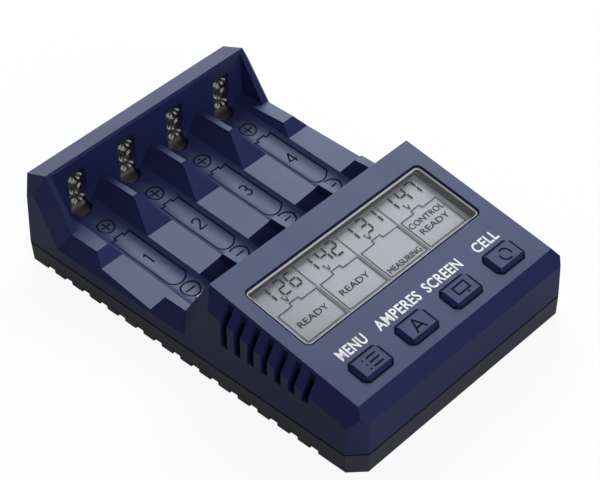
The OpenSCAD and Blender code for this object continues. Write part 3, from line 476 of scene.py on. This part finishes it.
def middles(family):
    """Middle of each of the four nodes of a family along x, in millimetres."""
    return np.array([sum(corner.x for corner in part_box(f"{family}_{n}")) / 2 / MM for n in range(1, 5)])


BAYS, BUTTONS = middles("positive_contact"), middles("button")


def in_trough(bay_x):
    """z = floor + rise * (y - middle) + r - sqrt(r^2 - u^2), pushed out along the section's normal."""
    def place(u, v, height):
        flat = np.sqrt(TROUGH_R ** 2 - u ** 2)
        floor = TROUGH_FLOOR + (v - TROUGH_MIDDLE) * TROUGH_RISE
        shrink = (TROUGH_R - height) / TROUGH_R
        return np.stack([bay_x + u * shrink, v, floor + TROUGH_R - flat * shrink], 1)
    return place


def on_block(depth=0.0):
    """(across, down the slope, height over the face) to x, y, z; depth sinks the plane."""
    down = np.array([0, -math.cos(BLOCK_TILT), -math.sin(BLOCK_TILT)])
    out = np.array([0, -math.sin(BLOCK_TILT), math.cos(BLOCK_TILT)])
    edge = np.array([0, BLOCK_EDGE_Y, BLOCK_EDGE_Z])

    def place(u, v, height):
        spots = edge + np.outer(v, down) + np.outer(np.ones_like(v), out) * (height - depth)
        spots[:, 0] = u
        return spots
    return place


def arc(cx, cy, radius, start, end, count=32):
    """Points (cx + r cos a, cy + r sin a) from start to end, in degrees."""
    angle = np.radians(np.linspace(start, end, count))
    return np.stack([cx + radius * np.cos(angle), cy + radius * np.sin(angle)], 1)


def ring(cx, cy, radius):
    """36 points all round, 10 degrees apart; the stroke closes the last step itself."""
    return arc(cx, cy, radius, 0, 350, 36)


print("block tilt", round(math.degrees(BLOCK_TILT), 2), "degrees")

# %% [markdown]
# ## Marks in the bays
# Each trough has a plus in a ring at its head end, its number, the outline of a cell with its nub
# towards the head, and a minus in a ring. On the real part they are cut about a tenth deep into the
# mould, and show as dark lines because shade fills the cuts. Here each is a stroke of near-black paint
# laid on the trough's floor: painted shade for the cut.

# %% Bay marks
MARK_WIDTH = 0.46
CELL_HALF, CELL_FOOT, CELL_TOP = 2.93, 13.2, 32.9
CELL_NUB_HALF, CELL_NUB, CELL_BEND_AT, CELL_BEND = 1.3, 0.9, 15.4, 3.66
NUMERAL_AT, NUMERAL_SCALE = (0.2, 23), 0.85
PLUS_AT, PLUS_RING, MINUS_AT, MINUS_RING, SIGN_HALF = 38.2, 2.2, 8.6, 2.4, 1.5


def figure(number):
    """Strokes of a numeral 3 wide and 4.4 high round (0, 0), read from the front."""
    bowl_top = arc(0, 1.1, 1.05, 150, -90, 20)
    bowl_foot = arc(0, -1.05, 1.15, 90, -150, 20)
    shapes = {
        1: [[(-0.9, 1.3), (0, 2.2), (0, -2.2)]],
        2: [np.concatenate([arc(0, 1.0, 1.2, 170, -35, 18), [(-1.3, -2.2), (1.4, -2.2)]])],
        3: [np.concatenate([bowl_top, bowl_foot])],
        4: [[(0.7, -2.2), (0.7, 2.2), (-1.4, -0.9), (1.4, -0.9)]],
    }
    return [np.asarray(line, float) for line in shapes[number]]


def bay_marks(number):
    """(line, closed) for one bay: u across, v along the bay. The cell's foot is an arc."""
    half, nub, end = CELL_HALF, CELL_NUB_HALF, CELL_TOP
    cell = [(-half, CELL_FOOT), (-half, end), (-nub, end), (-nub, end + CELL_NUB), (nub, end + CELL_NUB),
            (nub, end), (half, end), (half, CELL_FOOT)]
    cell = np.concatenate([cell, arc(0, CELL_BEND_AT, CELL_BEND, -37, -143, 16)])
    numeral = [(line * NUMERAL_SCALE + NUMERAL_AT, False) for line in figure(number)]
    bars = [([(-SIGN_HALF, at), (SIGN_HALF, at)], False) for at in (PLUS_AT, MINUS_AT)]
    upright = [([(0, PLUS_AT - SIGN_HALF), (0, PLUS_AT + SIGN_HALF)], False)]
    rings = [(ring(0, PLUS_AT, PLUS_RING), True), (ring(0, MINUS_AT, MINUS_RING), True)]
    return numeral + bars + upright + [(cell, True)] + rings


# Near-black paint for the cut marks, the gaps and the seam: painted shade for the shade inside them.
shade_line_paint = plastic("engraved_line_shade", (0.006, 0.008, 0.022), rough=0.9, depth=0.02, specular=0.08)
marks = [stroke(line, MARK_WIDTH, in_trough(bay_x), closed)
         for number, bay_x in enumerate(BAYS, 1) for line, closed in bay_marks(number)]
piece("bay_marks", marks, shade_line_paint, "charger")

# %% [markdown]
# ## Crowns on the positive contacts
# Six holes are pierced through each positive contact from behind, and the metal that the punch tears
# open stands out in petals round each hole: two in the outer rows, a single one in the middle row.
# They bite into a cell's nub, which rubs their tips bright. Their near-white paint is also a painted
# highlight for the glints on them. A crown is a closed ring round the tip of a plain burr, and its
# height dips on its way round.

# %% Crowns
CROWN_ROWS, CROWN_STEP, CROWN_X = ((2, 4), (1, 1), (2, 4)), 3.4, 1.25
CROWN_NOTCH, CROWN_TURN = 0.8, 0.8
PLATE_T, PLATE_OVER = 0.5, 2.9
OUTER_FOOT, OUTER_TIP, INNER_TIP, INNER_FOOT = (0.80, 0.6), (0.84, 1.16), (0.47, 1.16), (0.47, 0.6)


def crown(cx, cz, front_y, petals, sharp, turn, columns=40):
    """Radius and height of four profile points, the height times 1 - CROWN_NOTCH * dip, carried round
    by the angle; dip = ((1 + cos(petals * a)) / 2)^sharp makes one notch between two petals."""
    angle = np.linspace(0, 2 * math.pi, columns, endpoint=False)
    dip = ((1 + np.cos(petals * (angle + turn))) / 2) ** sharp
    profile = np.array([OUTER_FOOT, OUTER_TIP, INNER_TIP, INNER_FOOT])
    radius = np.broadcast_to(profile[:, 0], (columns, 4))
    height = profile[:, 1] * (1 - CROWN_NOTCH * dip)[:, None]
    points = np.stack([cx + radius * np.cos(angle)[:, None], front_y - height,
                       cz + radius * np.sin(angle)[:, None]], -1)
    rows, edges = np.meshgrid(np.arange(columns), np.arange(4), indexing="ij")
    ahead, beside = (rows + 1) % columns, (edges + 1) % 4
    faces = np.stack([rows * 4 + edges, rows * 4 + beside, ahead * 4 + beside, ahead * 4 + edges], -1)
    return points.reshape(-1, 3), faces.reshape(-1, 4).tolist()


plate_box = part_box("positive_contact_1")
plate_front, crown_top = plate_box[1].y / MM - PLATE_T, plate_box[1].z / MM - PLATE_OVER
crowns = [crown(bay_x + side * CROWN_X, crown_top - row * CROWN_STEP, plate_front, *shape,
                CROWN_TURN * side)
          for bay_x in BAYS for side in (-1, 1) for row, shape in enumerate(CROWN_ROWS)]
piece("contact_crowns", crowns, burr_highlight_nickel, "charger")

# %% [markdown]
# ## Figures on the display
# The display has one column for each bay: three figures of seven segments with a point, a small V,
# and the outline of a cell with a word in it. A segment is a tapered stroke. A reflective display
# also shows each figure twice, because the dark segments float over the reflecting film and throw a
# soft shadow on it, so the same strokes are laid again a little lower in a paler ink.

# %% Display drawing
COLUMN = 14.0
COLUMNS = COLUMN * (np.arange(4) - 2)
DIVIDER_TOP, DIVIDER_FOOT, DIVIDER_W = 7.5, 26.7, 0.16
FIGURE_TOP, FIGURE_W, FIGURE_H, SEGMENT_W, SEGMENT_GAP = 8.0, 2.3, 4.4, 0.5, 0.12
FIGURE_LEFTS = (1.9, 6.6, 10.1)
POINT_AT, POINT_W, POINT_OVER, POINT_UNDER = 5.5, 0.45, 0.25, 0.2
VOLT_LEFT, VOLT_HALF, VOLT_TOP, VOLT_FOOT, VOLT_W = 5.5, 0.5, 12.8, 14.0, 0.22
OUTLINE_LEFT, OUTLINE_RIGHT, OUTLINE_TOP, OUTLINE_FOOT, OUTLINE_W = 0.85, 13.45, 15.6, 25.2, 0.2
NUB_LEFT, NUB_W, NUB_H = 5.55, 3, 1.0
READINGS = ("126", "142", "131", "147")
# Segments a to g as (x0, y0, x1, y1) in a cell of 1 by 2, y down
SEGMENTS = {"a": (0, 0, 1, 0), "b": (1, 0, 1, 1), "c": (1, 1, 1, 2), "d": (0, 2, 1, 2),
            "e": (0, 1, 0, 2), "f": (0, 0, 0, 1), "g": (0, 1, 1, 1)}
SHOWN = {"0": "abcdef", "1": "bc", "2": "abged", "3": "abgcd", "4": "fgbc", "5": "afgcd",
         "6": "afgedc", "7": "abc", "8": "abcdefg", "9": "abcdfg"}


def segment_lines(digit, left):
    """Ends of each lit segment, drawn in by SEGMENT_GAP so that neighbours stay apart."""
    scale = np.array([FIGURE_W, FIGURE_H / 2])
    lines = []
    for letter in SHOWN[digit]:
        ends = np.array(SEGMENTS[letter], float).reshape(2, 2) * scale
        run = (ends[1] - ends[0]) / np.linalg.norm(ends[1] - ends[0])
        ends += np.outer([SEGMENT_GAP, -SEGMENT_GAP], run)
        lines.append(ends + [left, FIGURE_TOP])
    return lines


def column_drawing(left, reading):
    """Lines of one column that starts at left: tapered segments, the V's two strokes, the point and
    the closed outline of a cell."""
    figures = [line for start, digit in zip(FIGURE_LEFTS, reading)
               for line in segment_lines(digit, left + start)]
    foot = (left + VOLT_LEFT + VOLT_HALF, VOLT_FOOT)
    volt = [[(left + VOLT_LEFT, VOLT_TOP), foot], [foot, (left + VOLT_LEFT + 2 * VOLT_HALF, VOLT_TOP)]]
    figure_foot = FIGURE_TOP + FIGURE_H
    point = [[(left + POINT_AT, figure_foot - POINT_OVER), (left + POINT_AT, figure_foot + POINT_UNDER)]]
    x0, x1, nub0 = left + OUTLINE_LEFT, left + OUTLINE_RIGHT, left + NUB_LEFT
    nub1, nub_top = nub0 + NUB_W, OUTLINE_TOP - NUB_H
    outline = [(x0, OUTLINE_TOP), (nub0, OUTLINE_TOP), (nub0, nub_top), (nub1, nub_top),
               (nub1, OUTLINE_TOP), (x1, OUTLINE_TOP), (x1, OUTLINE_FOOT), (x0, OUTLINE_FOOT)]
    return figures, volt, point, outline


def display_parts(place):
    """All strokes of the four columns, as thin as a film, and the three lines between the columns."""
    film = {"top": 0.015, "sunk": 0.005}
    parts = []
    for left, reading in zip(COLUMNS, READINGS):
        figures, volt, point, outline = column_drawing(left, reading)
        parts += [stroke(line, SEGMENT_W, place, tapered=True, **film) for line in figures]
        parts += [stroke(line, VOLT_W, place, **film) for line in volt]
        parts += [stroke(line, POINT_W, place, **film) for line in point]
        parts += [stroke(outline, OUTLINE_W, place, closed=True, **film)]
    parts += [stroke([(left, DIVIDER_TOP), (left, DIVIDER_FOOT)], DIVIDER_W, place, **film)
              for left in COLUMNS[1:]]
    return parts


def shifted(place, across, down):
    """The same placing function for points moved by (across, down)."""
    return lambda u, v, height: place(u + across, v + down, height)


print("display columns start at", COLUMNS.tolist())

# %% Figures over the panel and their shadows on it
PANEL_DEPTH, INK_FLOAT, SHADOW_FLOAT = 2.9, 0.10, 0.03
SHADOW_ACROSS, SHADOW_DOWN = -0.3, 0.22
segment_ink = plastic("segment_ink", (0.014, 0.016, 0.016), rough=0.7, depth=0.004, specular=0.1)
shadow_ink = plastic("segment_shadow", (0.20, 0.215, 0.22), rough=0.4, depth=0.004)
over_panel, on_panel = on_block(PANEL_DEPTH - INK_FLOAT), on_block(PANEL_DEPTH - SHADOW_FLOAT)
piece("display_figures", display_parts(over_panel), segment_ink, "charger")
shadows = display_parts(shifted(on_panel, SHADOW_ACROSS, SHADOW_DOWN))
piece("display_shadows", shadows, shadow_ink, "charger")

# %% [markdown]
# ## Edge of the lens
# The lens lies a little under the face of the block, and its edge is bevelled. The bevel is one closed
# stroke of near-white paint with a banked top round the window, so that its rear side faces the light
# behind the charger. The white is a painted highlight, and it is widest along the rear.

# %% Lens edge
LENS_DEPTH, LENS_FLANGE, LENS_GAP = 0.4, 0.8, 0.2
WINDOW_TOP, WINDOW_FOOT, WINDOW_BEND = 6.95, 27.35, 1.5
BEVEL_W, REAR_BEVEL_W, BEVEL_DROP = 0.26, 0.38, 0.10


def rounded(half, top, foot, bend):
    """Four quarter circles of radius bend whose middles lie bend inside the corners, clockwise."""
    corners = ((-half + bend, top + bend, 180), (half - bend, top + bend, 270),
               (half - bend, foot - bend, 0), (-half + bend, foot - bend, 90))
    return np.concatenate([arc(cx, cy, bend, start, start + 90, 7) for cx, cy, start in corners])


inset = LENS_GAP + BEVEL_W / 2
window_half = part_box("display_lens")[1].x / MM - LENS_FLANGE
bevel_line = rounded(window_half - inset, WINDOW_TOP + inset, WINDOW_FOOT - inset, WINDOW_BEND - inset)
rear_v, rear_half = WINDOW_TOP + LENS_GAP + REAR_BEVEL_W / 2, window_half - WINDOW_BEND
bevels = [stroke(bevel_line, BEVEL_W, on_block(LENS_DEPTH), True, top=0.01, sunk=0.5, bank=BEVEL_DROP),
          stroke([(-rear_half, rear_v), (rear_half, rear_v)], REAR_BEVEL_W, on_block(LENS_DEPTH), top=0.02,
                 sunk=0.5, bank=BEVEL_DROP)]
piece("lens_bevel", bevels, lens_edge_highlight, "charger")

# %% [markdown]
# ## Lettering
# A text object becomes a mesh, its points are read into an array and fitted to a box, and the placing
# function lays them on the surface. The words say in a plain way what the buttons do and how the cells
# fare; the font is the one that comes with Blender.

# %% Fitting a word into a box
def word(text, left, right, top, foot, place, bold=0.0, thick=0.03):
    """(points, faces) of a word whose letters fill the box from left to right and top to foot."""
    curve = bpy.data.curves.new(text, "FONT")
    curve.body, curve.extrude, curve.offset = text, 0.5, bold
    curve.resolution_u, curve.space_character = 3, 1 + 3 * bold
    letters = bpy.data.objects.new(text, curve)
    bpy.context.scene.collection.objects.link(letters)
    bpy.context.view_layer.update()
    mesh = bpy.data.meshes.new_from_object(letters.evaluated_get(bpy.context.evaluated_depsgraph_get()))
    points = np.zeros(len(mesh.vertices) * 3, np.float32)
    mesh.vertices.foreach_get("co", points)
    points = points.reshape(-1, 3)
    faces = [list(face.vertices) for face in mesh.polygons]
    bpy.data.objects.remove(letters)
    low, high = points.min(0), points.max(0)
    share = (points - low) / (high - low)
    u = left + share[:, 0] * (right - left)
    v = foot + share[:, 1] * (top - foot)
    spots = place(u, v, 0) + (place(u, v, 1) - place(u, v, 0)) * (share[:, 2:] * thick)
    return spots, faces


print("lettering ready")

# %% Labels above the buttons
white_print = plastic("white_print", (0.90, 0.90, 0.90), rough=0.45, tone=0.03, depth=0.004)
LABELS = (("MENU", 8.7), ("AMPERES", 14.5), ("SCREEN", 12.4), ("CELL", 8.0))
LABEL_TOP, LABEL_FOOT, LABEL_SHIFT, LABEL_BOLD = 32.4, 35.4, 0.3, 0.022
labels = [word(text, x - width / 2, x + width / 2, LABEL_TOP, LABEL_FOOT, on_block(), LABEL_BOLD)
          for x, (text, width) in zip(BUTTONS + LABEL_SHIFT, LABELS)]
piece("button_labels", labels, white_print, "charger")

# %% Words in the display's outlines
STATES = ((0, "READY", 9.4, 19.8), (1, "READY", 9.4, 19.8), (2, "MEASURING", 11.0, 22.9),
          (3, "CONTROL", 11.7, 17.2), (3, "READY", 9.6, 20.0))
STATE_H = 1.65
state_middles = COLUMNS + (OUTLINE_LEFT + OUTLINE_RIGHT) / 2
states = [word(text, state_middles[column] - width / 2, state_middles[column] + width / 2,
               top, top + STATE_H, over_panel) for column, text, width, top in STATES]
piece("display_words", states, segment_ink, "charger")

# %% [markdown]
# ## Dark gaps
# The gaps round the caps and round the lens are two tenths wide and deep enough to be black with shade,
# and the rim of each is a little rounded. A fine line of painted shade on the rim shows the gap from every
# side. The groove between the two shells lies in shade, so a band of painted shade lies on the tray's top
# edge.

# %% Gap lines
BUTTON_AT, CAP_HOLE_W, CAP_HOLE_L, CAP_CORNER = 40.0, 9.8, 6.6, 1.2
GAP_RIM, RIM_CORNER, GAP_TOP, WINDOW_GAP_W, CAP_GAP_W = 0.1, 0.06, 0.015, 0.34, 0.36


def octagon(cx, cy, width, length, corner):
    """Corners of a rectangle round (cx, cy) whose four corners are cut off by corner."""
    half_w, half_l = width / 2, length / 2
    quarter = np.array([(half_w - corner, half_l), (half_w, half_l - corner)])
    turned = [quarter, quarter[::-1] * [1, -1], quarter * [-1, -1], quarter[::-1] * [-1, 1]]
    return np.concatenate(turned) + [cx, cy]


window_line = rounded(window_half + GAP_RIM, WINDOW_TOP - GAP_RIM, WINDOW_FOOT + GAP_RIM,
                      WINDOW_BEND + GAP_RIM)
rim_w, rim_l, rim_corner = CAP_HOLE_W + 2 * GAP_RIM, CAP_HOLE_L + 2 * GAP_RIM, CAP_CORNER + RIM_CORNER
# Dark strokes on the rims of the gaps: painted shade.
gaps = [stroke(window_line, WINDOW_GAP_W, on_block(), True, top=GAP_TOP)]
gaps += [stroke(octagon(x, BUTTON_AT, rim_w, rim_l, rim_corner), CAP_GAP_W, on_block(), True, top=GAP_TOP)
         for x in BUTTONS]
piece("gap_shade_lines", gaps, shade_line_paint, "charger")

# %% Band in the groove between the shells
SEAM_HEIGHT, SEAM_BAND, SEAM_IN, PLAN_CORNER = 6.4, 0.6, 0.01, 3.8
tray_low, tray_high = (np.array(corner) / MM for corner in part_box("bottom_shell"))
wide, long = (tray_high - tray_low)[:2] - SEAM_BAND - SEAM_IN
corner_back = SEAM_BAND / 2 * (2 - math.sqrt(2))
seam = octagon(0, (tray_low[1] + tray_high[1]) / 2, wide, long, PLAN_CORNER - corner_back)


def on_tray(u, v, height):
    """A level plane at the groove between the shells."""
    return np.stack([u, v, np.full_like(u, SEAM_HEIGHT + height)], 1)


# A dark band on the tray's top edge: painted shade for the groove between the shells.
piece("seam_shade_band", [stroke(seam, SEAM_BAND, on_tray, True, sunk=0.3)], shade_line_paint, "charger")

# %% [markdown]
# ## Signs on the caps
# Each cap carries a sign cut into its top: a list, a letter A, a screen and two turning arcs, drawn
# in near-black paint as painted shade for the cuts. They ride on the buttons' bodies, so they go down
# with the caps.

# %% Cap signs
CAP_PROUD, SIGN_W = 1.1, 0.50
LIST_ROWS = (-1.35, 0, 1.35)
CAP_SIGNS = {
    1: [([(left, row), (right, row)], False) for left, right in ((-1.7, -1.3), (-0.5, 2.6))
        for row in LIST_ROWS],
    2: [([(-1.55, 1.8), (0, -1.8), (1.55, 1.8)], False), ([(-1.0, 0.6), (1.0, 0.6)], False)],
    3: [([(-1.75, -1.45), (2.2, -1.45), (2.2, 0.8), (-1.75, 0.8)], True), ([(0.6, 1.5), (1.2, 1.5)], False)],
    4: [(arc(0.3, 0.1, 1.6, 65, 205), False), (arc(0.3, 0.1, 1.6, 245, 385), False)],
}
# The signs' strokes are painted shade for the cuts.
for number, x in enumerate(BUTTONS, 1):
    sign = [stroke(np.asarray(line, float) + [x, BUTTON_AT], SIGN_W, on_block(-CAP_PROUD), closed)
            for line, closed in CAP_SIGNS[number]]
    piece(f"cap_sign_{number}", sign, shade_line_paint, f"button_{number}_body")

# %% [markdown]
# ## Floor
# The charger stands on a white sweep. The floor's white is its own light, mixed with plain paint so
# that the charger's shadow stays on it. The camera and the lens see that light at full strength. In
# reflections it is dimmed, because a white floor all round would light up the dark side walls, and
# light that bounces up from the floor meets grey paint for the same reason.

# %% Floor and backdrop
FLOOR_GLOW, MIRRORED = 0.92, 0.18
WHITES, DIM_GREY = ((0.92, 0.92, 0.93), (0.95, 0.95, 0.95)), (0.2, 0.2, 0.2)


def floor_finish():
    """Mix of paint and a white glow. The glow's share is FLOOR_GLOW for rays that show the floor
    directly and MIRRORED of that for reflections. The paint is white where the floor is shown
    directly and grey for the light that bounces from it."""
    finish = Finish("studio_white", roughness=0.9, specular=0.0)
    camera_ray, through, mirrored = (finish.node("LightPath", out=f"Is {kind} Ray")
                                     for kind in ("Camera", "Transmission", "Glossy"))
    direct = (camera_ray + through).held()
    share = (direct + mirrored * MIRRORED).held() * FLOOR_GLOW
    paint = Field(finish, finish.shader.outputs[0])
    glow = finish.node("Emission", {}, {"Color": (1.0, 1.0, 1.0), "Strength": 1.0})
    finish.feed(finish.output.inputs[0], finish.node("MixShader", {}, {0: share, 1: paint, 2: glow}))
    white = finish.mix(finish.noise(60 * MM, 2), *WHITES)
    finish.set(base_color=finish.mix(direct, DIM_GREY, white))
    return finish.material


def sweep_points(half=2.0, bend=0.5, rise=1.6, count=24):
    """A floor that turns up at the rear: a quarter circle joins the level and the upright part."""
    turn = np.linspace(0, math.pi / 2, count)
    y = np.concatenate([[-half], half - bend + bend * np.sin(turn), [half]])
    z = np.concatenate([[0], bend - bend * np.cos(turn), [rise]])
    x = np.array([-half, half])
    return np.stack(np.broadcast_arrays(x[None, :], y[:, None], z[:, None]), -1)


grid = sweep_points()
rows = np.arange(grid.shape[0] - 1)
sweep_mesh = bpy.data.meshes.new("floor")
sweep_mesh.from_pydata(grid.reshape(-1, 3).tolist(), [],
                       np.stack([rows * 2, rows * 2 + 1, rows * 2 + 3, rows * 2 + 2], 1).tolist())
sweep_mesh.materials.append(floor_finish())
floor = bpy.data.objects.new("floor", sweep_mesh)
bpy.context.scene.collection.objects.link(floor)
print("floor", len(sweep_mesh.polygons), "faces")

# %% [markdown]
# ## Lamps and world
# One wide soft lamp hangs to the right of the rear, where it gives the sloping face its sheen. A
# weak one in front is for the walls that face the camera, and one low behind the head is for the white
# sheen on its top. A small one by the camera only matters to the metal, where it lights up the edges
# of the crowns. The world adds a little even light, so that no hole is quite black.

# %% Lamps and world
def softbox(name, place, aim, size, watts, colour=(1.0, 1.0, 1.0)):
    """An area lamp at place whose face points to aim."""
    data = bpy.data.lights.new(name, "AREA")
    data.shape, data.size, data.size_y, data.energy = "RECTANGLE", size[0], size[1], watts
    data.color = colour
    lamp = bpy.data.objects.new(name, data)
    bpy.context.scene.collection.objects.link(lamp)
    direction = Vector(aim) - Vector(place)
    lamp.matrix_world = Matrix.Translation(place) @ direction.to_track_quat("-Z", "Y").to_matrix().to_4x4()


softbox("overhead", (0.50, 0.46, 0.66), (0, 0, 0), (0.9, 0.7), 9.9, (0.93, 0.98, 1.0))
softbox("front", (-0.12, -0.90, 0.48), (0, 0, 0.01), (0.5, 0.4), 2.8)
softbox("rear", (0.75, 1.30, 0.35), (0, 0, 0.02), (1.4, 0.5), 4.0)
softbox("glint", (-0.28, -0.50, 0.60), (0, 0.04, 0.02), (0.12, 0.12), 0.8)

world = bpy.data.worlds.new("studio")
bpy.context.scene.world = world
world.use_nodes = True
background = world.node_tree.nodes["Background"]
background.inputs["Color"].default_value = (0.9, 0.95, 1.0, 1)
background.inputs["Strength"].default_value = 0.06
bpy.context.scene.view_settings.view_transform = "Standard"
print("lamps", [light.name for light in bpy.data.lights])
